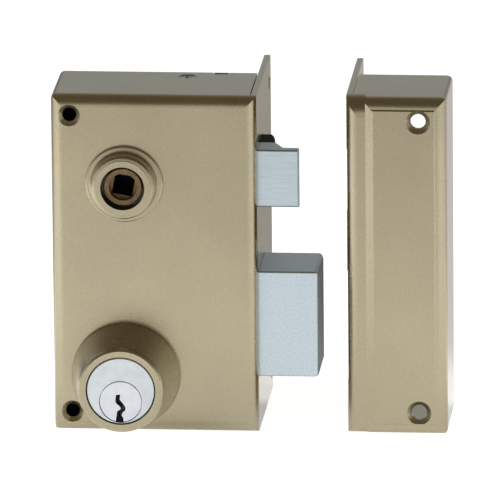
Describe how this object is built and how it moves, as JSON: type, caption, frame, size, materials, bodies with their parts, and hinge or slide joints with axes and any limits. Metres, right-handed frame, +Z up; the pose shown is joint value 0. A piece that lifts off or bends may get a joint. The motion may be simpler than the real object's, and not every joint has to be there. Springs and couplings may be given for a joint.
{
  "type": "rim box lock",
  "caption": "Surface-mounted rim box lock with sprung latch, throwing dead bolt, spindle follower, pin cylinder and its separate keep",
  "frame": {"origin": "On the axis of the pin cylinder, in the plane of the door face (the rear of the case), at the rear mouth of the hole for the outside cylinder", "axes": "+Y goes into the door, out of the hole for the outside cylinder. +X is the way the bolts throw, and the longest extent of the lock with its keep. +Z is up."},
  "size_m": [0.1344, 0.083, 0.118],
  "materials": {
    "lacquer": "satin metallic champagne lacquer",
    "zinc_steel": "bright zinc plate",
    "screw_steel": "bluish zinc plate",
    "spring_steel": "drawn spring steel",
    "nickel": "satin nickel",
    "pin_brass": "turned brass",
    "bolt_steel": "brushed steel",
    "nylon": "black moulded nylon",
    "follower_bronze": "sintered bronze"
  },
  "bodies": {
    "case": {"case_shell": "lacquer", "back_plate": "zinc_steel", "follower_collar": "lacquer", "cylinder_escutcheon": "lacquer", "cylinder_fork": "zinc_steel", "escutcheon_screws": "screw_steel", "case_screws": "screw_steel", "screw_sleeves": "zinc_steel", "latch_guide_post": "zinc_steel", "latch_spring_bracket": "zinc_steel", "latch_spring_rod": "zinc_steel", "latch_spring": "spring_steel", "bolt_guide_post": "zinc_steel", "friction_spring_post": "zinc_steel", "friction_spring": "spring_steel", "cylinder_body": "nickel", "driver_pins": "pin_brass", "pin_springs": "spring_steel", "pin_cover": "pin_brass"},
    "latch": {"latch_bolt": "bolt_steel", "latch_shoe": "nylon", "latch_shoe_pins": "zinc_steel"},
    "follower": {"follower": "follower_bronze"},
    "dead_bolt": {"dead_bolt": "bolt_steel", "dead_bolt_tail": "zinc_steel", "dead_bolt_rivets": "zinc_steel"},
    "plug": {"plug": "nickel", "key_pins": "pin_brass", "plug_ring": "spring_steel", "pinion": "zinc_steel"},
    "keep": {"keep_box": "lacquer"}
  },
  "joints": [
    {"name": "latch_slide", "type": "slide", "parent": "case", "child": "latch", "axis": [1, 0, 0], "range_m": [-0.0131, 0], "stiffness_N_per_m": 350, "springref_m": 0.012, "deforming": ["latch_spring"]},
    {"name": "follower_turn", "type": "hinge", "parent": "case", "child": "follower", "pos_m": [0, 0, 0.067], "axis": [0, -1, 0], "range_deg": [0, 45]},
    {"name": "dead_bolt_slide", "type": "slide", "parent": "case", "child": "dead_bolt", "axis": [1, 0, 0], "range_m": [-0.0204, 0]},
    {"name": "plug_turn", "type": "hinge", "parent": "case", "child": "plug", "pos_m": [0, 0, -0.0038], "axis": [0, -1, 0], "range_deg": [0, 360]},
    {"name": "keep_slide", "type": "slide", "parent": "case", "child": "keep", "axis": [1, 0, 0], "range_m": [-0.0272, 0]}
  ],
  "couplings": [
    {"joint": "follower_turn", "follows": "latch_slide", "rad_per_m": -59.95},
    {"joint": "plug_turn", "follows": "dead_bolt_slide", "rad_per_m": -307.99}
  ]
}
